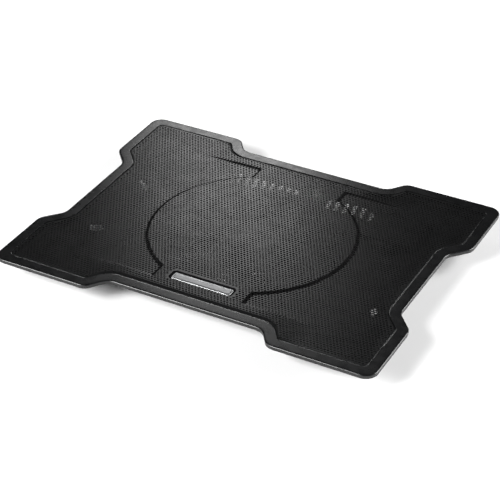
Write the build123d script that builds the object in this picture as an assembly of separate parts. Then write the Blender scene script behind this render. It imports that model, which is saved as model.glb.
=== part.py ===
from build123d import *
import math
import os

# Laptop cooling pad. Millimetres, +X right, +Y to the back edge, +Z up.
# Origin: on the table plane, under the middle of the fan.

# ---- driving sizes ---------------------------------------------------------
HALF_W = 190.0        # half of the overall width
HALF_D = 145.0        # half of the overall depth
SIDE_X = 172.8        # side recess, half width
BACK_Y = 127.0        # front and back recess, half depth
CORNER_R = 12.0
RIM_BAND = 10.8       # width of the frame band round the mesh

Z_SKIN = 2.2          # underside of the tub
WALL = 1.8
Z_EDGE = 17.6         # underside of the thin edge
Z_PART = 19.4         # parting line between shell and frame
Z_RIM = 22.0          # top of the frame
Z_MESH = 21.7         # top of the mesh sheet at the edge
RAISE = 1.3           # height of the raised middle of the mesh
SHEET = 0.6

DISC_R = 97.4         # raised round field, at mid slope
WAIST_X = 46.0        # half width of the raised neck
BAND_Y = 102.5        # inner edge of the raised front and back bands
SLOPE = 1.25          # half run of the formed step

BADGE = (60.0, 9.2, 1.6)   # width, depth, corner radius
BADGE_Y = -93.5
BADGE_T = 0.7
BADGE_GAP = 1.7       # clearance round the badge in its pocket

FAN_R = 81.5          # fan frame, outside
BORE_R = 78.5
TIP_R = 76.6
BLADES = 9

FOOT_X = 106.0        # middle of each folding foot
FOOT_W = 44.0
PIN_Y = 97.0
PIN_Z = 5.6
PIN_R = 1.5
LEG = 33.0            # pin to the end of the folding foot

os.makedirs("parts", exist_ok=True)


# ---- helpers ---------------------------------------------------------------
def save(shape, name):
    export_step(shape, f"parts/{name}.step")


def ring_points(q):
    """Mirror a first-quadrant corner list into all four quadrants."""
    a = list(q)
    b = [(-x, y, r) for x, y, r in reversed(q)]
    c = [(-x, -y, r) for x, y, r in q]
    d = [(x, -y, r) for x, y, r in reversed(q)]
    return a + b + c + d


def rounded_wire(pts, z):
    """Closed wire through corner points, each with its own radius."""
    n = len(pts)
    arcs = []
    for i in range(n):
        p0 = Vector(*pts[i - 1][:2], z)
        p1 = Vector(*pts[i][:2], z)
        p2 = Vector(*pts[(i + 1) % n][:2], z)
        r = pts[i][2]
        u = (p0 - p1).normalized()
        v = (p2 - p1).normalized()
        ang = math.acos(max(-1.0, min(1.0, u.dot(v))))
        t = r / math.tan(ang / 2)
        a, b = p1 + u * t, p1 + v * t
        w = (u + v).normalized()
        c = p1 + w * (r / math.sin(ang / 2))
        m = c - w * r
        arcs.append((a, m, b))
    edges = []
    for i in range(n):
        a, m, b = arcs[i]
        edges.append(Edge.make_three_point_arc(a, m, b))
        edges.append(Edge.make_line(b, arcs[(i + 1) % n][0]))
    return Wire(edges)


def slab(pts, z0, z1):
    return Solid.extrude(Face(rounded_wire(pts, z0)), Vector(0, 0, z1 - z0))


def tub(low, z0, high, z1):
    return Solid.make_loft([rounded_wire(low, z0), rounded_wire(high, z1)], True)


def box(x0, x1, y0, y1, z0, z1):
    return Pos((x0 + x1) / 2, (y0 + y1) / 2, (z0 + z1) / 2) * Box(x1 - x0, y1 - y0, z1 - z0)


def cyl(x, y, z0, z1, r):
    return Pos(x, y, (z0 + z1) / 2) * Cylinder(r, z1 - z0)


def tube(x, y, z0, z1, ro, ri):
    return cyl(x, y, z0, z1, ro) - cyl(x, y, z0 - 1, z1 + 1, ri)


def inset(q, dx, dy, r=None):
    """Pull a quadrant outline inwards; the S-bends move by both amounts."""
    return [(x - dx, y - dy, rr if r is None else r) for x, y, rr in q]


# ---- outlines --------------------------------------------------------------
OUTER = [
    (SIDE_X, 50.6, 13.0),
    (HALF_W, 70.0, 13.0),
    (HALF_W, HALF_D, CORNER_R),
    (90.8, HALF_D, 12.0),
    (78.0, BACK_Y, 14.0),
]
# frame opening: same shape, one band width in
k1, k2 = 0.38, 0.42
OPENING = [
    (SIDE_X - RIM_BAND, 50.6 + RIM_BAND * k1, 20.0),
    (HALF_W - RIM_BAND, 70.0 + RIM_BAND * k1, 6.0),
    (HALF_W - RIM_BAND, HALF_D - RIM_BAND, 6.5),
    (90.8 + RIM_BAND * 0.50, HALF_D - RIM_BAND, 6.0),
    (78.0 + RIM_BAND * 0.50, BACK_Y - RIM_BAND, 20.0),
]
TUB_TOP = [(157, 45, 14), (173, 64, 8), (173, 128, 10), (88, 128, 8), (77, 112, 14)]
TUB_LOW = [(135, 40, 14), (151, 59, 8), (151, 106, 10), (80, 106, 8), (71, 88, 14)]


def shrink(q, d):
    """Wall offset of a tub outline, corner by corner."""
    out = []
    for i, (x, y, r) in enumerate(q):
        if i == 0:
            out.append((x - d, y + 0.4 * d, r + d))
        elif i == 1:
            out.append((x - d, y + 0.4 * d, max(r - d, 1)))
        elif i == 2:
            out.append((x - d, y - d, max(r - d, 1)))
        elif i == 3:
            out.append((x + 0.5 * d, y - d, max(r - d, 1)))
        else:
            out.append((x + 0.5 * d, y - d, r + d))
    return out


OUTER_P = ring_points(OUTER)
OPENING_P = ring_points(OPENING)


# ---- top frame -------------------------------------------------------------
FRAME_SCREWS = [(182.2, 108), (182.2, -108), (-182.2, 108), (-182.2, -108),
                (112, 137.2), (112, -137.2), (-112, 137.2), (-112, -137.2),
                (40, 119.2), (-40, 119.2), (40, -119.2), (-40, -119.2)]


def make_top_frame():
    body = slab(OUTER_P, Z_PART + 0.15, Z_RIM)
    outer_top = [e for e in body.edges() if abs(e.center().Z - Z_RIM) < 0.01]
    body = body.fillet(1.1, outer_top)
    body = body - slab(OPENING_P, Z_PART - 1, Z_RIM + 1)
    # hollow underside of the band, leaving an outer skirt
    skirt_in = slab(ring_points(shrink(OUTER, 1.8)), Z_PART - 1, Z_RIM - 1.9)
    lip = slab(ring_points(shrink(OPENING, -1.6)), Z_PART - 2, Z_RIM)
    body = body - (skirt_in - lip)
    # ledge that carries the mesh
    ledge = slab(ring_points(shrink(OPENING, -1.7)), Z_PART + 0.15, Z_MESH - 1.0)
    ledge = ledge - slab(ring_points(shrink(OPENING, 3.4)), Z_PART - 1, Z_RIM)
    body = body + ledge
    for x, y in FRAME_SCREWS:
        body = body + cyl(x, y, Z_PART + 0.15, Z_RIM - 1.8, 3.0)
    for x, y in FRAME_SCREWS:
        body = body - cyl(x, y, Z_PART - 1, Z_RIM - 0.9, 1.15)
    return body


# ---- mesh sheet ------------------------------------------------------------
def raised_field(z):
    """Raised middle: round field, neck and two fading bands; z is its foot."""
    over = 0.3
    k = SLOPE * over / (RAISE / 2)
    h = RAISE + over
    z0 = z - over
    s = SLOPE
    field = Pos(0, 0, z0 + h / 2) * Cone(DISC_R + s + k, DISC_R - s, h)
    edge_y = BACK_Y - RIM_BAND - 0.6
    neck = loft([
        Pos(0, 0, z0) * Rectangle(2 * (WAIST_X + s + k), 2 * (edge_y + k)),
        Pos(0, 0, z0 + h) * Rectangle(2 * (WAIST_X - s), 2 * (edge_y - 2 * s)),
    ])
    f = field + neck
    ramp = RAISE / 52.0
    for sgn in (1, -1):
        roof = Polyline((-114 - over / ramp, z0), (-62, z0 + h), (62, z0 + h), (114 + over / ramp, z0), close=True)
        prism = extrude(Plane.XZ * make_face(roof), 140, both=True)
        a, b = BAND_Y - s - k, edge_y + k
        side = Polyline((sgn * a, z0), (sgn * (BAND_Y + s), z0 + h), (sgn * (edge_y - 2 * s), z0 + h), (sgn * b, z0), close=True)
        bar = extrude(Plane.YZ * make_face(side), 200, both=True)
        f = f + (prism & bar)
    return f


def make_mesh():
    gap = 0.4
    edge = ring_points(shrink(OPENING, gap))
    sheet = slab(edge, Z_MESH - SHEET, Z_MESH)
    rim = slab(edge, Z_MESH - 1.0, Z_MESH) - slab(ring_points(shrink(OPENING, gap + SHEET)), Z_MESH - 2, Z_MESH + 1)
    bound = slab(edge, Z_MESH - 2, Z_MESH + 5)
    up = raised_field(Z_MESH) & bound
    under = raised_field(Z_MESH - SHEET)
    inner = slab(ring_points(shrink(OPENING, gap + SHEET)), Z_MESH - 3, Z_MESH + 5)
    m = sheet + rim + up - (under & inner)
    # pressed pocket that lets the badge lie below the raised top
    floor = Z_MESH - 0.02
    w, d, r = BADGE
    g = 2 * BADGE_GAP
    m = m + Pos(0, BADGE_Y, floor - SHEET) * extrude(RectangleRounded(w + g + 1.2, d + g + 1.2, r + BADGE_GAP + 0.6), SHEET + 0.9)
    m = m - Pos(0, BADGE_Y, floor) * extrude(RectangleRounded(w + g, d + g, r + BADGE_GAP), 3)
    for x in (-22.0, 22.0):
        m = m - cyl(x, BADGE_Y, Z_MESH - 2, Z_MESH + 5, 1.1)
    return m


# ---- bottom shell ----------------------------------------------------------
SLOTS = [-75.6 + 8.9 * i for i in list(range(9)) + list(range(12, 18))]
POD = (1.5, 30.5)
LUG_R = 89.0
LUG_ANGLES = (45, 135, 225, 315)
CUSHIONS = [(141, 95), (-141, 95), (141, -95), (-141, -95)]


def make_bottom_shell():
    top_p, low_p = ring_points(TUB_TOP), ring_points(TUB_LOW)
    # thin flange at the edge with an upstanding lip inside the frame skirt
    flange = slab(ring_points(shrink(OUTER, 0.25)), Z_EDGE, Z_PART)
    low_edges = [e for e in flange.edges() if abs(e.center().Z - Z_EDGE) < 0.01]
    flange = flange.fillet(0.9, low_edges)
    body = flange + tub(low_p, Z_SKIN, top_p, Z_EDGE + 0.2)
    body = body + box(POD[0], POD[1], 84, 111, 8.0, Z_EDGE + 0.1)
    cav = tub(ring_points(shrink(TUB_LOW, 0.7)), Z_SKIN + WALL,
              ring_points(shrink(TUB_TOP, 1.6)), Z_EDGE + 0.9)
    cav = cav + slab(ring_points(shrink(TUB_TOP, 1.6)), Z_EDGE + 0.9, Z_PART + 1)
    cav = cav + box(POD[0] + 1.8, POD[1] - 1.8, 84, 109.2, 9.8, Z_PART + 1)
    body = body - cav
    # folding foot pockets
    for s in (1, -1):
        cx = s * FOOT_X
        x0, x1 = cx - FOOT_W / 2 - 0.8, cx + FOOT_W / 2 + 0.8
        y0, y1 = PIN_Y - LEG - 1.4, PIN_Y + 4.4
        body = body + box(x0 - 2.6, x1 + 2.6, y0 - 1.6, y1 + 1.6, Z_SKIN, 11.0)
        body = body - box(x0, x1, y0, y1, Z_SKIN - 1, 9.4)
        body = body + box(cx - 11, cx + 11, y0 - 10, y0, Z_SKIN + 0.0, 8.6)
        body = body - (Pos(cx, y0 - 0.5, Z_SKIN + 0.2) * Sphere(8.2) & box(cx - 9.4, cx + 9.4, y0 - 8.4, y0 + 1, Z_SKIN - 9, 7.0))
        body = body - box(cx - 7, cx + 7, y0 - 3, y0 + 0.5, Z_SKIN - 1, 7.0)
        pin_bore = Pos(cx, PIN_Y, PIN_Z) * Rot(0, 90, 0) * Cylinder(PIN_R, 2 * (FOOT_W / 2 + 3.0))
        body = body - pin_bore
    # round intake grille
    rings = None
    r = 29.5
    while r + 5.2 < 77.5:
        a = tube(0, 0, Z_SKIN - 1, Z_SKIN + WALL + 1, r + 5.2, r)
        rings = a if rings is None else rings + a
        r += 7.8
    for i in range(8):
        rings = rings - Rot(0, 0, 22.5 + 45 * i) * box(0, 90, -1.6, 1.6, 0, 8)
    body = body - rings
    # outlet slots in the sloping back wall
    for x in SLOTS:
        s = box(x - 2.2, x + 2.2, 91.5, 101.5, 1.0, 17.0)
        body = body - s
    # small side outlets near the S-bends
    for sx in (1, -1):
        for sy in (1, -1):
            w = Pos(sx * 144.0, sy * 43.0, 10) * Rot(0, 0, sx * sy * 50) * SlotOverall(14, 6.0)
            body = body - extrude(w, 12, both=True)
    # fan posts
    for a in LUG_ANGLES:
        x, y = LUG_R * math.cos(math.radians(a)), LUG_R * math.sin(math.radians(a))
        body = body + cyl(x, y, Z_SKIN + WALL - 0.2, 6.0, 4.5)
        body = body - cyl(x, y, 3.2, 7.0, 1.2)
    # board posts in the inlet pod
    for x in (7.0, 25.0):
        body = body + cyl(x, 95.0, 9.6, 10.8, 2.2)
        body = body - cyl(x, 95.0, 8.9, 12.0, 0.9)
    body = body - box(11.9, 20.1, 105, 113, 11.8, 16.2)
    # frame screws: counterbores under the thin edge
    for x, y in FRAME_SCREWS:
        body = body - cyl(x, y, Z_EDGE - 0.1, Z_PART + 1, 1.6)
        body = body - cyl(x, y, Z_EDGE - 12, Z_EDGE + 0.9, 2.9)
    # seats of the rubber feet and of the label
    for x, y in CUSHIONS:
        body = body - cyl(x, y, Z_SKIN - 1, Z_SKIN + 0.5, 7.2)
    body = body - box(88, 128, -86, -62, Z_SKIN - 1, Z_SKIN + 0.25)
    return body


# ---- fan -------------------------------------------------------------------
STRUTS = (80, 170, 260, 350)


def make_fan_frame():
    z0, z1 = 4.3, 18.9
    f = tube(0, 0, z0, z1, FAN_R, BORE_R)
    f = f + tube(0, 0, z0, z0 + 1.6, FAN_R + 1.6, BORE_R) + tube(0, 0, z1 - 1.6, z1, FAN_R + 1.6, BORE_R)
    for a in STRUTS:
        f = f + Rot(0, 0, a) * box(20, BORE_R + 1, -2.6, 2.6, z0, z0 + 1.5)
    f = f + cyl(0, 0, z0, z0 + 1.5, 24)
    f = f + cyl(0, 0, z0, 15.0, 4.6)
    f = f - cyl(0, 0, z0 + 1.5, 16, 3.0)
    for a in LUG_ANGLES:
        x, y = LUG_R * math.cos(math.radians(a)), LUG_R * math.sin(math.radians(a))
        lug = cyl(x, y, 6.0, 8.6, 5.0) + Rot(0, 0, a) * box(FAN_R - 1, LUG_R, -5.0, 5.0, 6.0, 8.6)
        f = f + lug
        f = f - cyl(x, y, 5, 10, 1.7)
    f = f - Rot(0, 0, 80) * box(BORE_R - 2, FAN_R + 4, -2.2, 2.2, 5.8, 8.0)
    return f


def blade(ang):
    def section(r, chord, t, pitch, shift, zc):
        p = Plane(origin=(r, shift, zc), x_dir=(0, 1, 0), z_dir=(1, 0, 0))
        return p * (Rot(0, 0, pitch) * RectangleRounded(chord, t, t * 0.45))
    b = loft([
        section(21.0, 15.0, 1.8, 35.0, -2.0, 13.0),
        section(50.0, 24.0, 1.6, 24.0, 4.0, 13.0),
        section(80.0, 32.0, 1.3, 17.0, 13.0, 13.0),
    ])
    b = b & cyl(0, 0, 6, 19, TIP_R)
    return Rot(0, 0, ang) * b


def make_rotor():
    hub = cyl(0, 0, 7.8, 18.4, 23.5)
    hub = hub.fillet(1.6, [e for e in hub.edges() if abs(e.center().Z - 18.4) < 0.01])
    hub = hub - cyl(0, 0, 7.0, 17.0, 20.2)
    hub = hub - cyl(0, 0, 16, 19, 1.5)
    r = hub
    core = cyl(0, 0, 5, 20, 20.2)
    for i in range(BLADES):
        b = blade(360.0 / BLADES * i) - core
        r = r + b
    return r


def make_yoke():
    y = cyl(0, 0, 8.2, 17.0, 20.2) - cyl(0, 0, 7, 16.0, 19.2)
    return y - cyl(0, 0, 15, 18, 1.5)


def make_shaft():
    s = cyl(0, 0, 6.1, 17.9, 1.5)
    return s - tube(0, 0, 6.2, 6.6, 2.5, 1.2)


def make_stator_core():
    c = tube(0, 0, 8.8, 12.4, 7.0, 4.6)
    for i in range(4):
        c = c + Rot(0, 0, 90 * i) * box(6.5, 14.6, -2.0, 2.0, 8.8, 12.4)
    head = tube(0, 0, 8.8, 12.4, 16.0, 14.0)
    keep = None
    for i in range(4):
        w = Rot(0, 0, 90 * i) * box(12, 17, -8.5, 8.5, 8, 13)
        keep = w if keep is None else keep + w
    return c + (head & keep)


def make_coils():
    g = []
    for i in range(4):
        b = box(8.0, 13.1, -4.2, 4.2, 7.9, 13.3)
        b = b.fillet(1.4, b.edges().filter_by(Axis.X))
        b = b - box(7, 14.5, -2.05, 2.05, 8.75, 12.45)
        g.append(Rot(0, 0, 90 * i) * b)
    return Compound(children=g)


def make_driver_board():
    b = tube(0, 0, 6.0, 7.0, 17.5, 4.8)
    for a, r in ((20, 11.5), (200, 12.0), (110, 11.0)):
        b = b + Rot(0, 0, a) * Pos(r, 0, 7.25) * Box(2.4, 3.2, 0.5)
    return b


# ---- folding feet ----------------------------------------------------------
def make_foot(s):
    cx = s * FOOT_X
    x0, x1 = cx - FOOT_W / 2, cx + FOOT_W / 2
    h = 2.9
    leg = box(x0, x1, PIN_Y - LEG + 3.0, PIN_Y, PIN_Z - h, PIN_Z + h)
    barrel = Pos(cx, PIN_Y, PIN_Z) * Rot(0, 90, 0) * Cylinder(h, FOOT_W)
    f = leg + barrel
    # two lightening pockets on the inner face with a middle rib
    for a, b in ((x0 + 2.4, cx - 1.2), (cx + 1.2, x1 - 2.4)):
        f = f - box(a, b, PIN_Y - LEG + 6.0, PIN_Y - 5.5, PIN_Z - h + 2.2, PIN_Z + h + 1)
    f = f - Pos(cx, PIN_Y, PIN_Z) * Rot(0, 90, 0) * Cylinder(PIN_R + 0.05, FOOT_W + 4)
    # tongue that holds the rubber end
    f = f + box(x0 + 5, x1 - 5, PIN_Y - LEG + 1.2, PIN_Y - LEG + 3.2, PIN_Z - 1.2, PIN_Z + 1.2)
    return f


def make_tip(s):
    cx = s * FOOT_X
    x0, x1 = cx - FOOT_W / 2, cx + FOOT_W / 2
    t = box(x0, x1, PIN_Y - LEG, PIN_Y - LEG + 3.0, PIN_Z - 2.9, PIN_Z + 2.9)
    t = t.fillet(1.2, [e for e in t.edges() if abs(e.center().Y - (PIN_Y - LEG)) < 0.01])
    return t - box(x0 + 5, x1 - 5, PIN_Y - LEG + 1.2, PIN_Y - LEG + 4, PIN_Z - 1.2, PIN_Z + 1.2)


def make_pin(s):
    return Pos(s * FOOT_X, PIN_Y, PIN_Z) * Rot(0, 90, 0) * Cylinder(PIN_R, 2 * (FOOT_W / 2 + 3.0))


# ---- small parts -----------------------------------------------------------
def make_cushions():
    g = []
    for x, y in CUSHIONS:
        c = cyl(x, y, 0, Z_SKIN + 0.5, 7.0)
        g.append(c.fillet(0.8, [e for e in c.edges() if abs(e.center().Z) < 0.01]))
    return Compound(children=g)


def screw(x, y, zh, head_h, head_r, ztip, r, up):
    """Cross-head screw; up=True points its tip upwards from the head at zh."""
    if up:
        s = cyl(x, y, zh, zh + head_h, head_r) + cyl(x, y, zh + head_h - 0.1, ztip, r)
        cross = box(x - 1.3, x + 1.3, y - 0.35, y + 0.35, zh - 1, zh + head_h * 0.55)
        cross = cross + box(x - 0.35, x + 0.35, y - 1.3, y + 1.3, zh - 1, zh + head_h * 0.55)
    else:
        s = cyl(x, y, zh - head_h, zh, head_r) + cyl(x, y, ztip, zh - head_h + 0.1, r)
        cross = box(x - 1.3, x + 1.3, y - 0.35, y + 0.35, zh - head_h * 0.55, zh + 1)
        cross = cross + box(x - 0.35, x + 0.35, y - 1.3, y + 1.3, zh - head_h * 0.55, zh + 1)
    return s - cross


def make_case_screws():
    return Compound(children=[screw(x, y, Z_EDGE - 0.4, 1.3, 2.6, Z_RIM - 1.0, 1.15, True) for x, y in FRAME_SCREWS])


def make_fan_screws():
    g = []
    for a in LUG_ANGLES:
        x, y = LUG_R * math.cos(math.radians(a)), LUG_R * math.sin(math.radians(a))
        g.append(screw(x, y, 10.3, 1.7, 3.2, 3.3, 1.2, False))
    return Compound(children=g)


def make_board_screws():
    return Compound(children=[screw(x, 95.0, 13.1, 1.1, 1.7, 9.0, 0.9, False) for x in (7.0, 25.0)])


def make_inlet_board():
    b = box(4.0, 28.0, 90.0, 108.4, 10.8, 12.0)
    for x in (7.0, 25.0):
        b = b - cyl(x, 95.0, 10, 13, 1.0)
    for x, y in ((13, 96.5), (19, 96.5), (16, 93.0)):
        b = b + Pos(x, y, 12.3) * Box(2.0, 1.2, 0.7)
    return b


def make_socket():
    y0, y1 = 101.0, 110.4
    s = box(12.2, 19.8, y0, y1, 12.0, 15.9)
    s = s.fillet(0.5, s.edges().filter_by(Axis.Y))
    return s - box(12.6, 19.4, y0 + 0.6, y1 + 1, 12.4, 15.5)


def make_socket_core():
    back = box(12.65, 19.35, 101.65, 103.4, 12.45, 15.45)
    tongue = box(13.6, 18.4, 103.3, 109.4, 13.4, 14.3)
    return back + tongue


def lead(offset):
    a = math.radians(80)
    ca, sa = math.cos(a), math.sin(a)

    def pt(r, off, z):
        return (r * ca - off * sa, r * sa + off * ca, z)
    path = Polyline(pt(17.62, offset, 6.45), pt(84.6, offset, 6.45),
                    (16.0 - offset * 1.6, 87.6, 7.4), (16.0 - offset * 1.6, 89.0, 12.75), (16.0 - offset * 1.6, 91.4, 12.75))
    return sweep(Plane(origin=path @ 0, z_dir=path % 0) * Circle(0.55), path=path, transition=Transition.ROUND)


def make_badge():
    z = Z_MESH
    b = extrude(Pos(0, BADGE_Y, z) * RectangleRounded(*BADGE), BADGE_T)
    b = b.fillet(0.25, [e for e in b.edges() if abs(e.center().Z - (z + BADGE_T)) < 0.01])
    for x in (-22.0, 22.0):
        b = b + cyl(x, BADGE_Y, z - 1.6, z + 0.2, 1.0)
    return b


def make_label():
    return extrude(Pos(108, -74, Z_SKIN + 0.03) * RectangleRounded(39.4, 23.4, 2), 0.22)


if __name__ == "__main__":
    save(make_top_frame(), "top_frame")
    save(make_mesh(), "mesh_panel")
    save(make_bottom_shell(), "bottom_shell")
    save(make_badge(), "badge_plate")
    save(make_label(), "blank_label")
    save(make_fan_frame(), "fan_frame")
    save(make_rotor(), "fan_rotor")
    save(make_yoke(), "rotor_yoke")
    save(tube(0, 0, 8.4, 13.6, 19.2, 16.8), "magnet_ring")
    save(make_shaft(), "fan_shaft")
    save(tube(0, 0, 6.2, 6.6, 2.5, 1.2), "shaft_clip")
    save(tube(0, 0, 6.9, 14.8, 3.0, 1.54), "sleeve_bearing")
    save(make_stator_core(), "stator_core")
    save(make_coils(), "stator_coils")
    save(make_driver_board(), "driver_board")
    save(make_fan_screws(), "fan_screws")
    save(make_case_screws(), "case_screws")
    for s, n in ((-1, "left"), (1, "right")):
        save(make_foot(s), f"flip_foot_{n}")
        save(make_tip(s), f"foot_tip_{n}")
        save(make_pin(s), f"foot_pin_{n}")
    save(make_cushions(), "rubber_feet")
    save(make_inlet_board(), "inlet_board")
    save(make_board_screws(), "board_screws")
    save(make_socket(), "power_socket")
    save(make_socket_core(), "socket_core")
    save(lead(0.75), "lead_positive")
    save(lead(-0.75), "lead_negative")
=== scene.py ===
import math

import bmesh
import bpy
import numpy as np
from mathutils import Matrix, Vector
from mathutils.geometry import delaunay_2d_cdt


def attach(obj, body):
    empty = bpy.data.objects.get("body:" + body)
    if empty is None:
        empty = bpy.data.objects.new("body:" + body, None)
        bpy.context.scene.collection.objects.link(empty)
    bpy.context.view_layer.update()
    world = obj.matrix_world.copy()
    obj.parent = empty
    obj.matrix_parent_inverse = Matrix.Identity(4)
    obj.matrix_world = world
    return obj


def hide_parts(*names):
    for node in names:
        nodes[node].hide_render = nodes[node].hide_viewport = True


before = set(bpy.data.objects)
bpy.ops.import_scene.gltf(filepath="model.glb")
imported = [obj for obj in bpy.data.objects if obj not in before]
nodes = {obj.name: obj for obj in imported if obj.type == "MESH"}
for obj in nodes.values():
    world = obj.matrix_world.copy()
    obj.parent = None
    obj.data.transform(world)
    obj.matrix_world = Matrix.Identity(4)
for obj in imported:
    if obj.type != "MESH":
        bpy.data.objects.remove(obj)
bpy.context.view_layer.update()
MM = 0.001

# ---------------------------------------------------------------- outlines, mm
HALF_W, HALF_D, SIDE_X, BACK_Y, CORNER_R, RIM_BAND = 190.0, 145.0, 172.8, 127.0, 12.0, 10.8
Z_EDGE, Z_PART, Z_RIM, Z_MESH, RAISE, SHEET = 17.6, 19.4, 22.0, 21.7, 1.3, 0.56
DISC_R, WAIST_X, BAND_Y, SLOPE = 97.4, 46.0, 102.5, 1.25
BADGE, BADGE_Y = (60.0, 9.2, 1.6), -93.5
OUTER = [(SIDE_X, 50.6, 13.0), (HALF_W, 70.0, 13.0), (HALF_W, HALF_D, CORNER_R), (90.8, HALF_D, 12.0), (78.0, BACK_Y, 14.0)]
OPENING = [
    (SIDE_X - RIM_BAND, 50.6 + RIM_BAND * 0.38, 20.0),
    (HALF_W - RIM_BAND, 70.0 + RIM_BAND * 0.38, 6.0),
    (HALF_W - RIM_BAND, HALF_D - RIM_BAND, 6.5),
    (90.8 + RIM_BAND * 0.50, HALF_D - RIM_BAND, 6.0),
    (78.0 + RIM_BAND * 0.50, BACK_Y - RIM_BAND, 20.0),
]


def shrink(q, d):
    out = []
    for i, (x, y, r) in enumerate(q):
        if i == 0:
            out.append((x - d, y + 0.4 * d, r + d))
        elif i == 1:
            out.append((x - d, y + 0.4 * d, max(r - d, 1)))
        elif i == 2:
            out.append((x - d, y - d, max(r - d, 1)))
        elif i == 3:
            out.append((x + 0.5 * d, y - d, max(r - d, 1)))
        else:
            out.append((x + 0.5 * d, y - d, r + d))
    return out


def outline(q, arc=10, step=8.0, ref=None):
    """Dense closed outline of a quadrant corner list; the sample counts come from ref so that rings match."""
    def ring(q):
        return list(q) + [(-x, y, r) for x, y, r in reversed(q)] + [(-x, -y, r) for x, y, r in q] + [(x, -y, r) for x, y, r in reversed(q)]
    pts, base = ring(q), ring(ref or q)
    n = len(pts)

    def corners(pts):
        out = []
        for i in range(n):
            p0, p1, p2 = (np.array(pts[(i + k) % n][:2], float) for k in (-1, 0, 1))
            r = pts[i][2]
            u, v = (p0 - p1) / np.linalg.norm(p0 - p1), (p2 - p1) / np.linalg.norm(p2 - p1)
            ang = math.acos(np.clip(u @ v, -1, 1))
            t = r / math.tan(ang / 2)
            w = (u + v) / np.linalg.norm(u + v)
            c = p1 + w * (r / math.sin(ang / 2))
            out.append((p1 + u * t, p1 + v * t, c, r))
        return out
    a, b = corners(pts), corners(base)
    res = []
    for i in range(n):
        s, e, c, r = a[i]
        a0, a1 = math.atan2(*(s - c)[::-1]), math.atan2(*(e - c)[::-1])
        d = (a1 - a0 + math.pi) % (2 * math.pi) - math.pi
        for k in range(arc + 1):
            th = a0 + d * k / arc
            res.append(c + r * np.array([math.cos(th), math.sin(th)]))
        gap = np.linalg.norm(b[(i + 1) % n][0] - b[i][1])
        m = max(1, int(round(gap / step)))
        nxt = a[(i + 1) % n][0]
        for k in range(1, m):
            res.append(e + (nxt - e) * k / m)
    return np.array(res)


def smooth(t):
    t = np.clip(t, 0, 1)
    return t * t * (3 - 2 * t)


EDGE_Q = shrink(OPENING, 0.4)


def seg_distance(p, poly):
    """Distance from many points to a closed polygon's sides."""
    a, b = poly, np.roll(poly, -1, 0)
    best = np.full(len(p), 1e9)
    for k in range(len(a)):
        ab = b[k] - a[k]
        t = np.clip(((p - a[k]) @ ab) / (ab @ ab), 0, 1)
        d = p - (a[k] + t[:, None] * ab)
        best = np.minimum(best, (d * d).sum(1))
    return np.sqrt(best)


def inside(p, poly):
    x, y = p[:, 0], p[:, 1]
    res = np.zeros(len(p), bool)
    a, b = poly, np.roll(poly, -1, 0)
    for k in range(len(a)):
        (x0, y0), (x1, y1) = a[k], b[k]
        if y0 == y1:
            continue
        hit = (y0 > y) != (y1 > y)
        res ^= hit & (x < (x1 - x0) * (y - y0) / (y1 - y0) + x0)
    return res


EDGE_COARSE = outline(EDGE_Q, 6, 60.0)


def pocket_ring(grow, n=6, step=3.0):
    """Rounded rectangle round the badge, grown by some mm."""
    hx, hy, r = BADGE[0] / 2 + grow, BADGE[1] / 2 + grow, BADGE[2] + grow
    out = []
    for sx, sy, a in ((1, 1, 0), (-1, 1, 90), (-1, -1, 180), (1, -1, 270)):
        for k in range(n + 1):
            t = math.radians(a + 90 * k / n)
            out.append((sx * (hx - r) + r * math.cos(t), BADGE_Y + sy * (hy - r) + r * math.sin(t)))
    # even the straight sides out
    res, m = [], len(out)
    for i in range(m):
        p, q = np.array(out[i]), np.array(out[(i + 1) % m])
        k = 18 if (i + 1) % (n + 1) == 0 and abs(q[0] - p[0]) > abs(q[1] - p[1]) else 3 if (i + 1) % (n + 1) == 0 else 1
        for j in range(k):
            res.append(p + (q - p) * j / k)
    return np.array(res)


POCKET = 2.3  # from the badge to the lip of its pocket


def relief(p):
    """Height of the formed sheet over its edge level, mm."""
    x, y = np.abs(p[:, 0]), np.abs(p[:, 1])
    r = np.hypot(x, y)
    disc = smooth((DISC_R + SLOPE - r) / (2 * SLOPE))
    neck = smooth((WAIST_X + SLOPE - x) / (2 * SLOPE))
    fade = smooth((117.0 - x) / 58.0)
    band = smooth((y - (BAND_Y - SLOPE)) / (2 * SLOPE)) * fade
    m = np.maximum(np.maximum(disc, neck), band)
    near = y > 104
    if near.any():
        d = seg_distance(p[near], EDGE_COARSE)
        m[near] *= smooth(d / 2.6)
    return RAISE * m


# ---------------------------------------------------------------- materials
def new_mat(name):
    m = bpy.data.materials.new(name)
    m.use_nodes = True
    nt = m.node_tree
    return m, nt, nt.nodes["Principled BSDF"]


def coords(nt, stretch=None):
    tc = nt.nodes.new("ShaderNodeTexCoord")
    if stretch is None:
        return tc.outputs["Object"]
    mp = nt.nodes.new("ShaderNodeMapping")
    mp.inputs["Scale"].default_value = stretch
    nt.links.new(tc.outputs["Object"], mp.inputs["Vector"])
    return mp.outputs["Vector"]


def noise(nt, vec, scale, detail=2.0, rough=0.5):
    n = nt.nodes.new("ShaderNodeTexNoise")
    n.inputs["Scale"].default_value = scale
    n.inputs["Detail"].default_value = detail
    n.inputs["Roughness"].default_value = rough
    nt.links.new(vec, n.inputs["Vector"])
    return n.outputs["Fac"]


def ramp(nt, fac, stops):
    r = nt.nodes.new("ShaderNodeValToRGB")
    el = r.color_ramp.elements
    while len(el) < len(stops):
        el.new(0.5)
    for e, (pos, col) in zip(el, stops):
        e.position = pos
        e.color = (*col, 1) if len(col) == 3 else col
    nt.links.new(fac, r.inputs["Fac"])
    return r.outputs["Color"]


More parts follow.
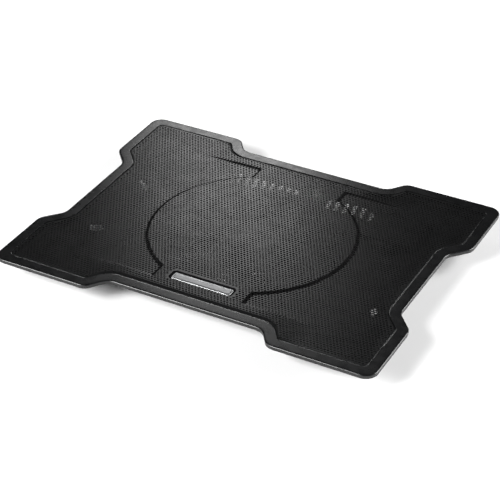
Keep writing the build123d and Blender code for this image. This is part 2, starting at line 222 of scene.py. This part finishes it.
def spread(nt, fac, lo, hi, a=0.3, b=0.7):
    r = nt.nodes.new("ShaderNodeMapRange")
    r.inputs["From Min"].default_value = a
    r.inputs["From Max"].default_value = b
    r.inputs["To Min"].default_value = lo
    r.inputs["To Max"].default_value = hi
    nt.links.new(fac, r.inputs["Value"])
    return r.outputs["Result"]


def bump(nt, height, strength, distance, under=None):
    b = nt.nodes.new("ShaderNodeBump")
    b.inputs["Strength"].default_value = strength
    b.inputs["Distance"].default_value = distance
    nt.links.new(height, b.inputs["Height"])
    if under is not None:
        nt.links.new(under, b.inputs["Normal"])
    return b.outputs["Normal"]


def moulded(name, dark, light, rough, grain=2600.0, depth=0.00004, strength=0.35, wander=40.0, spec=0.5):
    """Moulded plastic: a fine spark grain, slow shade and gloss changes."""
    m, nt, p = new_mat(name)
    v = coords(nt)
    slow, fine = noise(nt, v, wander, 3.0), noise(nt, v, grain, 2.0, 0.6)
    nt.links.new(ramp(nt, slow, [(0.3, dark), (0.7, light)]), p.inputs["Base Color"])
    nt.links.new(spread(nt, noise(nt, v, wander * 3, 4.0), rough - 0.04, rough + 0.05), p.inputs["Roughness"])
    nt.links.new(bump(nt, fine, strength, depth), p.inputs["Normal"])
    p.inputs["Specular IOR Level"].default_value = spec
    return m


def metal(name, dark, light, rough, stretch=None, scale=400.0, depth=0.00002, strength=0.3):
    m, nt, p = new_mat(name)
    v = coords(nt, stretch)
    a = noise(nt, v, scale, 4.0, 0.65)
    nt.links.new(ramp(nt, a, [(0.3, dark), (0.7, light)]), p.inputs["Base Color"])
    nt.links.new(spread(nt, a, rough - 0.06, rough + 0.08), p.inputs["Roughness"])
    nt.links.new(bump(nt, a, strength, depth), p.inputs["Normal"])
    p.inputs["Metallic"].default_value = 1.0
    return m


RIM = moulded("rim satin plastic", (0.003, 0.0031, 0.0033), (0.0042, 0.0043, 0.0046), 0.27, grain=3000.0, depth=0.00002, strength=0.2, spec=0.5)
SHELL = moulded("shell textured plastic", (0.006, 0.0061, 0.0065), (0.009, 0.0091, 0.0096), 0.45, grain=1500.0, depth=0.00009, strength=0.5)
FEET = moulded("folding foot plastic", (0.007, 0.0071, 0.0075), (0.010, 0.0101, 0.0107), 0.4, grain=2200.0, depth=0.00005, strength=0.3)
FAN = moulded("fan plastic", (0.004, 0.0041, 0.0045), (0.0065, 0.0066, 0.0071), 0.42, grain=900.0, depth=0.00002, strength=0.2, wander=25.0)
RUBBER = moulded("rubber", (0.012, 0.012, 0.012), (0.022, 0.022, 0.0215), 0.72, grain=1100.0, depth=0.0001, strength=0.5, wander=90.0, spec=0.3)
CORE = moulded("socket core plastic", (0.012, 0.012, 0.013), (0.02, 0.02, 0.02), 0.45)
LABEL = moulded("blank label film", (0.36, 0.365, 0.37), (0.42, 0.425, 0.43), 0.42, grain=700.0, depth=0.00001, strength=0.15)
LEAD_R = moulded("red lead", (0.16, 0.008, 0.007), (0.21, 0.011, 0.010), 0.5, grain=900.0)
LEAD_B = moulded("black lead", (0.012, 0.012, 0.013), (0.02, 0.02, 0.02), 0.42, grain=900.0)
BOARD = moulded("solder mask", (0.004, 0.022, 0.010), (0.007, 0.034, 0.015), 0.34, grain=600.0, depth=0.00003, strength=0.3, wander=260.0)
MAGNET = moulded("magnet ferrite", (0.03, 0.028, 0.027), (0.06, 0.056, 0.053), 0.6, grain=1800.0, depth=0.00006)
CLIP = moulded("nylon clip", (0.5, 0.49, 0.45), (0.6, 0.59, 0.55), 0.4)
STEEL = metal("bright steel", (0.42, 0.42, 0.43), (0.56, 0.56, 0.57), 0.26, stretch=(1, 1, 12), scale=500.0)
TIN = metal("tinned steel", (0.48, 0.48, 0.47), (0.62, 0.62, 0.6), 0.3, scale=700.0)
ZINC = metal("black zinc", (0.045, 0.045, 0.05), (0.085, 0.083, 0.088), 0.38, scale=900.0)
BRONZE = metal("sintered bronze", (0.32, 0.19, 0.09), (0.5, 0.31, 0.15), 0.45, scale=1600.0, depth=0.00006)
LAMS = metal("stator laminations", (0.2, 0.2, 0.21), (0.42, 0.42, 0.44), 0.42, stretch=(0.2, 0.2, 9), scale=380.0, depth=0.00008)


def copper_wire():
    m, nt, p = new_mat("wound copper")
    v = coords(nt)
    w = nt.nodes.new("ShaderNodeTexWave")
    w.bands_direction = "Z"
    w.inputs["Scale"].default_value = 900.0
    w.inputs["Distortion"].default_value = 1.5
    w.inputs["Detail Scale"].default_value = 2.0
    nt.links.new(v, w.inputs["Vector"])
    nt.links.new(ramp(nt, w.outputs["Fac"], [(0.1, (0.18, 0.055, 0.02)), (0.8, (0.62, 0.24, 0.1))]), p.inputs["Base Color"])
    nt.links.new(bump(nt, w.outputs["Fac"], 0.8, 0.0001), p.inputs["Normal"])
    nt.links.new(spread(nt, noise(nt, v, 700.0), 0.22, 0.36), p.inputs["Roughness"])
    p.inputs["Metallic"].default_value = 1.0
    return m


def painted_steel():
    """Satin black coat on perforated sheet: slight orange peel, thin gloss changes."""
    m, nt, p = new_mat("painted perforated steel")
    v = coords(nt)
    slow, peel, speck = noise(nt, v, 18.0, 3.0), noise(nt, v, 900.0, 2.0), noise(nt, v, 4200.0, 1.0)
    nt.links.new(ramp(nt, slow, [(0.3, (0.0028, 0.0029, 0.003)), (0.7, (0.004, 0.0041, 0.0043))]), p.inputs["Base Color"])
    nt.links.new(spread(nt, noise(nt, v, 60.0, 4.0), 0.27, 0.32), p.inputs["Roughness"])
    nt.links.new(bump(nt, peel, 0.25, 0.00003, bump(nt, speck, 0.2, 0.00001)), p.inputs["Normal"])
    p.inputs["Specular IOR Level"].default_value = 0.5
    return m


def brushed_plate():
    m, nt, p = new_mat("brushed aluminium plate")
    v = coords(nt, (6, 260, 60))
    a = noise(nt, v, 18.0, 6.0, 0.7)
    b = noise(nt, coords(nt, (30, 900, 200)), 10.0, 3.0)
    nt.links.new(ramp(nt, a, [(0.25, (0.24, 0.243, 0.248)), (0.75, (0.44, 0.444, 0.45))]), p.inputs["Base Color"])
    nt.links.new(spread(nt, b, 0.3, 0.46), p.inputs["Roughness"])
    nt.links.new(bump(nt, a, 0.25, 0.00003), p.inputs["Normal"])
    p.inputs["Metallic"].default_value = 1.0
    return m


COPPER, MESH, PLATE = copper_wire(), painted_steel(), brushed_plate()
# Darker than the sheet coat: painted shade for the hole walls, the steep step facets and the badge pocket. The high
# roughness and low specular make these faces dull.
PAINTED_SHADE_WALLS = moulded("hole and step walls with painted shade", (0.0018, 0.0018, 0.0019), (0.003, 0.003, 0.0031), 0.8, grain=1200.0, depth=0.00002, strength=0.2, spec=0.06)


def paint(node, mat):
    o = nodes[node]
    if not o.material_slots:
        o.data.materials.append(mat)
    for s in o.material_slots:
        s.material = mat


for n, m in {
    "top_frame": RIM, "bottom_shell": SHELL, "mesh_panel": MESH, "badge_plate": PLATE, "blank_label": LABEL,
    "fan_frame": FAN, "fan_rotor": FAN, "rotor_yoke": STEEL, "magnet_ring": MAGNET, "fan_shaft": STEEL,
    "shaft_clip": CLIP, "sleeve_bearing": BRONZE, "stator_core": LAMS, "stator_coils": COPPER, "driver_board": BOARD,
    "fan_screws": ZINC, "case_screws": ZINC, "flip_foot_left": FEET, "flip_foot_right": FEET, "foot_tip_left": RUBBER,
    "foot_tip_right": RUBBER, "foot_pin_left": STEEL, "foot_pin_right": STEEL, "rubber_feet": RUBBER,
    "inlet_board": BOARD, "board_screws": ZINC, "power_socket": TIN, "socket_core": CORE,
    "lead_positive": LEAD_R, "lead_negative": LEAD_B,
}.items():
    paint(n, m)


# ---------------------------------------------------------------- mesh helpers
def build(name, verts, faces, mat, body="base", smooth_faces=True, scale=MM):
    me = bpy.data.meshes.new(name)
    me.from_pydata([tuple(v) for v in np.asarray(verts, float) * scale], [], [tuple(f) for f in faces])
    me.validate()
    me.materials.append(mat)
    if smooth_faces:
        me.polygons.foreach_set("use_smooth", np.ones(len(me.polygons), bool))
    o = bpy.data.objects.new(name, me)
    bpy.context.scene.collection.objects.link(o)
    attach(o, body)
    return o


def sharpen(o, degrees=35):
    me = o.data
    bm = bmesh.new()
    bm.from_mesh(me)
    bmesh.ops.recalc_face_normals(bm, faces=bm.faces)
    lim = math.radians(degrees)
    for e in bm.edges:
        e.smooth = len(e.link_faces) == 2 and e.calc_face_angle(0) < lim
    bm.to_mesh(me)
    bm.free()


# ---------------------------------------------------------------- top frame
def make_rim():
    """Closed ring swept round the outline: crowned band, rolled outer edge, skirt, inner wall and ledge."""
    a = outline(OUTER, 14, 6.0)
    o_step = lambda d: outline(shrink(OUTER, d), 14, 6.0, OUTER)
    # the inner outline, sampled like the outer one
    b = outline(OPENING, 14, 6.0, OUTER)

    def ring(t, off=0.0, z=Z_RIM):
        """t=0 outer, t=1 inner; off moves in from the outer side in mm."""
        p = a * (1 - t) + b * t
        if off:
            d = b - a
            p = p + d / np.linalg.norm(d, axis=1)[:, None] * off
        return np.c_[p, np.full(len(p), z)]
    zb = Z_PART + 0.15
    prof = [
        (0, 0.28, zb), (0, 0.06, zb + 0.1), (0, 0.0, zb + 0.32), (0, 0.0, Z_RIM - 1.15),
        (0, 0.07, Z_RIM - 0.78), (0, 0.26, Z_RIM - 0.45), (0, 0.55, Z_RIM - 0.2), (0, 0.95, Z_RIM - 0.07), (0, 1.5, Z_RIM - 0.015), (0, 2.3, Z_RIM),
    ]
    rings = [ring(t, o, z) for t, o, z in prof]
    for t in (0.4, 0.6, 0.8, 0.93):
        rings.append(ring(t, 0, Z_RIM - 0.01 * (t > 0.9)))
    rings += [ring(1, -0.06, Z_RIM - 0.01), ring(1, 0.0, Z_RIM - 0.06), ring(1, 0.0, Z_MESH - 1.02)]
    rings += [ring(1, 3.0, Z_MESH - 1.02), ring(1, 3.0, zb), ring(1, -1.6, zb), ring(1, -1.6, Z_RIM - 1.9), ring(0, 1.8, Z_RIM - 1.9), ring(0, 1.8, zb)]
    n, k = len(a), len(rings)
    verts = np.vstack(rings)
    faces = []
    for i in range(k):
        j = (i + 1) % k
        for s in range(n):
            t = (s + 1) % n
            faces.append((i * n + s, i * n + t, j * n + t, j * n + s))
    o = build("top_frame_moulding", verts, faces, RIM)
    sharpen(o, 40)
    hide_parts("top_frame")
    return o


make_rim()

# ---------------------------------------------------------------- perforated sheet
PITCH, HOLE_R, HOLE_IN, SIDES = 3.2, 1.16, 1.0, 12
ROW = PITCH * math.sqrt(3) / 2
# Facets steeper than this get the wall material, whose darker colour is painted shade on the step.
STEEP = 0.988  # facets leaning more than this are the stretched step, where the coat is dull


def make_panel():
    apothem = PITCH / 2
    hexr = PITCH / math.sqrt(3)
    ang = np.arange(SIDES) * 2 * math.pi / SIDES + math.pi / 6
    # the hexagon's corners and side middles, in step with the circle's points
    far = np.where(np.arange(SIDES) % 2 == 0, hexr, apothem)
    # rows along X: corners of each cell point along Y
    hexa = np.c_[np.cos(ang) * far, np.sin(ang) * far]
    hexa = np.c_[np.cos(ang - 0.0) * far, np.sin(ang - 0.0) * far]
    corner_first = hexa
    circ_o = np.c_[np.cos(ang), np.sin(ang)] * HOLE_R
    circ_i = np.c_[np.cos(ang), np.sin(ang)] * HOLE_IN
    edge = outline(EDGE_Q, 10, 4.0)
    inner = outline(shrink(EDGE_Q, 0.5), 10, 4.0, EDGE_Q)
    keep_in = outline(shrink(EDGE_Q, 0.6), 10, 6.0, EDGE_Q)
    pocket = pocket_ring(POCKET)
    keep_out = pocket_ring(POCKET + 0.12)
    nx, ny = int(400 / PITCH) // 2 + 2, int(300 / ROW) // 2 + 2
    cs = []
    for j in range(-ny, ny + 1):
        sh = (j % 2) * PITCH / 2
        for i in range(-nx, nx + 1):
            cs.append((i * PITCH + sh, j * ROW, i, j))
    cs = np.array(cs)
    ok = np.ones(len(cs), bool)
    for h in corner_first[::2]:
        ok &= inside(cs[:, :2] + h * 1.0, keep_in)
    for h in corner_first[1::2]:
        ok &= inside(cs[:, :2] + h * 1.0, keep_in)
    for h in corner_first:
        ok &= ~inside(cs[:, :2] + h, keep_out)
    for c in np.vstack([keep_out, (keep_out + np.roll(keep_out, -1, 0)) / 2]):
        ok &= np.hypot(cs[:, 0] - c[0], cs[:, 1] - c[1]) > hexr
    cells = cs[ok][:, :2]

    # shared hexagon points
    hp = (cells[:, None, :] + corner_first[None]).reshape(-1, 2)
    key = np.round(hp * 200).astype(np.int64)
    _, first, inv = np.unique(key, axis=0, return_index=True, return_inverse=True)
    hex_pts = hp[first]
    hex_idx = inv.reshape(len(cells), SIDES)
    nh = len(hex_pts)

    # border between the cells and the turned edge
    cnt = {}
    for row in hex_idx:
        for a, b in zip(row, np.roll(row, -1)):
            cnt[(a, b)] = 1
    loops = [(a, b) for (a, b) in cnt if (b, a) not in cnt]
    bnd = sorted({v for e in loops for v in e})
    remap = {v: i for i, v in enumerate(bnd)}
    pts = [Vector(hex_pts[v]) for v in bnd] + [Vector(p) for p in inner] + [Vector(p) for p in pocket]
    m, mi, mp = len(bnd), len(inner), len(pocket)
    edges = [(remap[a], remap[b]) for a, b in loops] + [(m + i, m + (i + 1) % mi) for i in range(mi)]
    edges += [(m + mi + i, m + mi + (i + 1) % mp) for i in range(mp)]
    vs, _, fs, orig_v, _, _ = delaunay_2d_cdt(pts, edges, [], 0, 1e-5)
    cdt = np.array([tuple(v) for v in vs])
    fa = np.array([tuple(f) for f in fs])
    mid = cdt[fa].mean(1)
    good = inside(mid, inner) & ~inside(mid, pocket)
    # drop what lies in the field of cells
    succ = {}
    for a, b in loops:
        succ.setdefault(a, []).append(b)
    field = []
    left = dict((k, list(v)) for k, v in succ.items())
    while left:
        s = next(iter(left))
        loop = [s]
        while True:
            nxt = left[loop[-1]].pop()
            if not left[loop[-1]]:
                del left[loop[-1]]
            if nxt == s:
                break
            loop.append(nxt)
        field.append(hex_pts[loop])
    infield = np.zeros(len(mid), bool)
    for lp in field:
        infield ^= inside(mid, lp)
    fa = fa[good & ~infield]
    used_src = {}
    for i, ov in enumerate(orig_v):
        if len(ov):
            used_src[i] = ov[0]
    return dict(cells=cells, hex_pts=hex_pts, hex_idx=hex_idx, circ_o=circ_o, circ_i=circ_i, cdt=cdt, fa=fa, src=used_src, bnd=bnd, m=m, inner=inner, edge=edge, pocket=pocket)


def height(p, z=0.0):
    return np.c_[p, Z_MESH + relief(p) + z]


def write_panel():
    g = make_panel()
    cells, hex_pts, hex_idx = g["cells"], g["hex_pts"], g["hex_idx"]
    n = len(cells)
    co = (cells[:, None, :] + g["circ_o"][None]).reshape(-1, 2)
    ci = (cells[:, None, :] + g["circ_i"][None]).reshape(-1, 2)
    # all top points: hexagon points, upper ring, throat, lower ring, lower hexagon points
    hz = height(hex_pts)
    top = height(co)
    thr = height(ci, -SHEET / 2)
    low = height(co, -SHEET)
    hl = hz.copy()
    hl[:, 2] -= SHEET
    nh, nc = len(hz), len(top)
    verts = np.vstack([hz, top, thr, low, hl])
    o_top, o_thr, o_low, o_hl = nh, nh + nc, nh + 2 * nc, nh + 3 * nc
    k = np.arange(SIDES)
    k2 = (k + 1) % SIDES
    base = (np.arange(n) * SIDES)[:, None]
    H0, H1 = hex_idx[:, k], hex_idx[:, k2]
    C0, C1 = base + k, base + k2
    quads = [
        np.stack([H0, H1, o_top + C1, o_top + C0], -1),
        np.stack([o_top + C0, o_top + C1, o_thr + C1, o_thr + C0], -1),
        np.stack([o_thr + C0, o_thr + C1, o_low + C1, o_low + C0], -1),
        np.stack([o_low + C0, o_low + C1, o_hl + H1, o_hl + H0], -1),
    ]
    # (cell, ring of quads)
    allq = np.stack(quads, 1)  # n, 4, SIDES, 4
    # strips of near equal count along X
    order = np.argsort(cells[:, 0], kind="stable")
    parts = 6
    names = []
    for s, idx in enumerate(np.array_split(order, parts)):
        q = allq[idx].reshape(-1, 4)
        used, inv = np.unique(q, return_inverse=True)
        me = bpy.data.meshes.new(f"mesh_strip_{s + 1}")
        v = verts[used] * MM
        f = inv.reshape(-1, 4)
        me.vertices.add(len(v))
        me.vertices.foreach_set("co", v.ravel())
        me.loops.add(f.size)
        me.loops.foreach_set("vertex_index", f.ravel().astype(np.int32))
        me.polygons.add(len(f))
        me.polygons.foreach_set("loop_start", np.arange(0, f.size, 4, dtype=np.int32))
        me.polygons.foreach_set("use_smooth", np.ones(len(f), bool))
        me.materials.append(MESH)
        me.materials.append(PAINTED_SHADE_WALLS)
        # material 1 is the painted shade wall material: hole walls, and top facets steeper than STEEP
        kind = np.tile(np.repeat([0, 1, 1, 1], SIDES), len(idx))
        qv = verts[q]
        nrm = np.cross(qv[:, 2] - qv[:, 0], qv[:, 3] - qv[:, 1])
        nz = np.abs(nrm[:, 2]) / np.maximum(np.linalg.norm(nrm, axis=1), 1e-9)
        kind[(kind == 0) & (nz < STEEP)] = 1
        me.polygons.foreach_set("material_index", kind.astype(np.int32))
        me.update(calc_edges=True)
        # crisp hole lips
        o = bpy.data.objects.new(me.name, me)
        bpy.context.scene.collection.objects.link(o)
        bm = bmesh.new()
        bm.from_mesh(me)
        lim = math.radians(32)
        for e in bm.edges:
            e.smooth = len(e.link_faces) != 2 or e.calc_face_angle(0) < lim
        bm.to_mesh(me)
        bm.free()
        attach(o, "base")
        names.append(o)
    # border: plain sheet between the holes and the turned edge
    cdt, fa, inner, edge = g["cdt"], g["fa"], g["inner"], g["edge"]
    zt = height(cdt)
    nb = len(cdt)
    zl = zt.copy()
    zl[:, 2] -= SHEET
    vv, ff = [zt, zl], [tuple(t) for t in fa] + [tuple(nb + i for i in t[::-1]) for t in fa]
    # which border points belong to the inner outline
    src = g["src"]
    loc, ploc = {}, {}
    ni = len(inner)
    for i, s in src.items():
        if s >= g["m"] + ni:
            ploc[s - g["m"] - ni] = i
        elif s >= g["m"]:
            loc[s - g["m"]] = i
    rel = relief(inner)
    prof = [(0.3, -0.05), (0.12, -0.18), (0.03, -0.45), (0.0, -0.85), (0.0, -1.0), (0.45, -1.0), (0.46, -0.8), (0.48, -0.62)]
    rings = []
    off = 2 * nb
    for d, dz in prof:
        p = outline(shrink(EDGE_Q, d), 10, 4.0, EDGE_Q)
        f = smooth((d - 0.0) / 0.5)
        z = Z_MESH + rel * (0.25 + 0.75 * f if dz > -0.5 else 0.25) + dz
        z = np.minimum(z, Z_MESH + rel + dz * 0.4) if dz > -0.3 else Z_MESH + dz + np.zeros(ni) if dz <= -1.0 else Z_MESH + rel * 0.25 + dz
        vv.append(np.c_[p, z])
        rings.append(off)
        off += ni
    for i in range(ni):
        j = (i + 1) % ni
        a, b = loc[i], loc[j]
        ff.append((a, rings[0] + i, rings[0] + j, b))
        for r0, r1 in zip(rings, rings[1:]):
            ff.append((r0 + i, r1 + i, r1 + j, r0 + j))
        ff.append((rings[-1] + i, nb + a, nb + b, rings[-1] + j))
    o = build("mesh_border", np.vstack(vv), ff, MESH)
    sharpen(o, 50)
    names.append(o)
    # pressed pocket of the badge: rolled lip, steep wall, flat floor, all in the darker wall material that paints shade
    # into the pocket
    pk, np_ = g["pocket"], len(g["pocket"])
    lip = Z_MESH + relief(pk)
    vv = [np.c_[pk, lip]]
    for grow, dz in ((POCKET - 0.1, -0.04), (POCKET - 0.2, -0.16), (POCKET - 0.3, -0.4)):
        vv.append(np.c_[pocket_ring(grow), lip + dz])
    for grow, z in ((POCKET - 0.4, Z_MESH + 0.2), (POCKET - 0.5, Z_MESH + 0.04), (POCKET - 0.65, Z_MESH - 0.02)):
        vv.append(np.c_[pocket_ring(grow), np.full(np_, z)])
    ff = []
    for k in range(len(vv) - 1):
        for i in range(np_):
            j = (i + 1) % np_
            ff.append((k * np_ + j, k * np_ + i, (k + 1) * np_ + i, (k + 1) * np_ + j))
    ff.append(tuple((len(vv) - 1) * np_ + i for i in range(np_)))
    o = build("mesh_pocket", np.vstack(vv), ff, PAINTED_SHADE_WALLS)
    sharpen(o, 50)
    names.append(o)
    for o in names:
        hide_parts("mesh_panel")
    print("holes", n, "faces", [len(o.data.polygons) for o in names])


write_panel()


# ---------------------------------------------------------------- badge plate
def make_badge():
    """Blank brushed plate: rolled edge, and a shallow engraved frame line."""
    z0 = Z_MESH
    cx, cy = 0.0, BADGE_Y

    def rr(hx, hy, r, z, n=8):
        p = []
        for sx, sy, a in ((1, 1, 0), (-1, 1, 90), (-1, -1, 180), (1, -1, 270)):
            for k in range(n + 1):
                t = math.radians(a + 90 * k / n)
                p.append((cx + sx * (hx - r) + r * math.cos(t), cy + sy * (hy - r) + r * math.sin(t), z))
        return p
    hx, hy = BADGE[0] / 2, BADGE[1] / 2
    rings = [rr(hx, hy, 1.6, z0 + 0.0), rr(hx, hy, 1.6, z0 + 0.5), rr(hx - 0.08, hy - 0.08, 1.55, z0 + 0.61), rr(hx - 0.28, hy - 0.28, 1.4, z0 + 0.68),
             rr(hx - 0.5, hy - 0.5, 1.25, z0 + 0.7), rr(hx - 1.0, hy - 1.0, 0.95, z0 + 0.7), rr(hx - 1.12, hy - 1.12, 0.85, z0 + 0.6), rr(hx - 1.4, hy - 1.4, 0.7, z0 + 0.6),
             rr(hx - 1.52, hy - 1.52, 0.65, z0 + 0.66), rr(hx - 2.4, hy - 2.4, 0.5, z0 + 0.66)]
    n = len(rings[0])
    verts = [v for r in rings for v in r]
    faces = []
    for i in range(len(rings) - 1):
        for s in range(n):
            t = (s + 1) % n
            faces.append((i * n + s, i * n + t, (i + 1) * n + t, (i + 1) * n + s))
    faces.append(tuple(range((len(rings) - 1) * n, len(rings) * n)))
    faces.append(tuple(reversed(range(n))))
    o = build("badge_face", verts, faces, PLATE)
    sharpen(o, 30)
    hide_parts("badge_plate")


make_badge()

# ---------------------------------------------------------------- stage
def floor_material():
    m, nt, p = new_mat("pale floor")
    v = coords(nt)
    nt.links.new(ramp(nt, noise(nt, v, 3.0, 3.0), [(0.3, (0.86, 0.86, 0.86)), (0.7, (0.88, 0.88, 0.88))]), p.inputs["Base Color"])
    p.inputs["Roughness"].default_value = 0.8
    p.inputs["Specular IOR Level"].default_value = 0.1
    return m


me = bpy.data.meshes.new("floor")
S = 6.0
me.from_pydata([(-S, -S, -0.0004), (S, -S, -0.0004), (S, S, -0.0004), (-S, S, -0.0004)], [], [(0, 1, 2, 3)])
me.materials.append(floor_material())
floor = bpy.data.objects.new("floor", me)
bpy.context.scene.collection.objects.link(floor)

# camera, from the fitted viewing angle
AZ, EL, ROLL, F_PX = 28.7, 33.94, -0.43, 1705.85
TX, TY, TZ, DIST = 11.58 * MM, -26.18 * MM, Z_RIM * MM, 1552.2 * MM
a, e, r = math.radians(AZ), math.radians(EL), math.radians(ROLL)
back = Vector((math.sin(a) * math.cos(e), -math.cos(a) * math.cos(e), math.sin(e)))
fw = -back
right = fw.cross(Vector((0, 0, 1))).normalized()
up = right.cross(fw)
rx = math.cos(r) * right + math.sin(r) * up
ry = -math.sin(r) * right + math.cos(r) * up
cam_data = bpy.data.cameras.new("camera")
cam = bpy.data.objects.new("camera", cam_data)
bpy.context.scene.collection.objects.link(cam)
cam_data.sensor_width = 36.0
cam_data.lens = F_PX / 500.0 * 36.0
cam_data.clip_start, cam_data.clip_end = 0.05, 50.0
loc = Vector((TX, TY, TZ)) + back * DIST
cam.matrix_world = Matrix((
    (rx.x, ry.x, back.x, loc.x),
    (rx.y, ry.y, back.y, loc.y),
    (rx.z, ry.z, back.z, loc.z),
    (0, 0, 0, 1)))
bpy.context.scene.camera = cam


def area(name, at, aim, size, power, colour=(1, 1, 1), sy=None):
    d = bpy.data.lights.new(name, "AREA")
    d.shape = "RECTANGLE" if sy else "SQUARE"
    d.size = size
    if sy:
        d.size_y = sy
    d.energy = power
    d.color = colour
    o = bpy.data.objects.new(name, d)
    bpy.context.scene.collection.objects.link(o)
    o.location = at
    o.rotation_mode = "QUATERNION"
    o.rotation_quaternion = (Vector(aim) - Vector(at)).to_track_quat("-Z", "Y")
    return o


# low window behind the pad: the long soft streak down the middle of the top
area("rear window", (-0.568, 0.969, 0.649), (-0.0655, 0.0781, 0.022), 0.26, 1.38)
# front left key: whitens the floor and lights the front rounded edge only
area("front left key", (-0.85, -1.5, 1.05), (0, 0, 0), 0.9, 76.0)
# right key: floor beyond the right edge, and under the rear slots
area("right key", (1.6, 1.0, 0.85), (0.1, 0, 0), 1.3, 82.0)
area("left fill", (-1.6, -1.1, 0.8), (0, 0, 0), 1.3, 14.0)

world = bpy.data.worlds.new("studio")
bpy.context.scene.world = world
world.use_nodes = True
bg = world.node_tree.nodes["Background"]
bg.inputs["Color"].default_value = (1, 1, 1, 1)
bg.inputs["Strength"].default_value = 0.01
bpy.context.scene.view_settings.view_transform = "Standard"
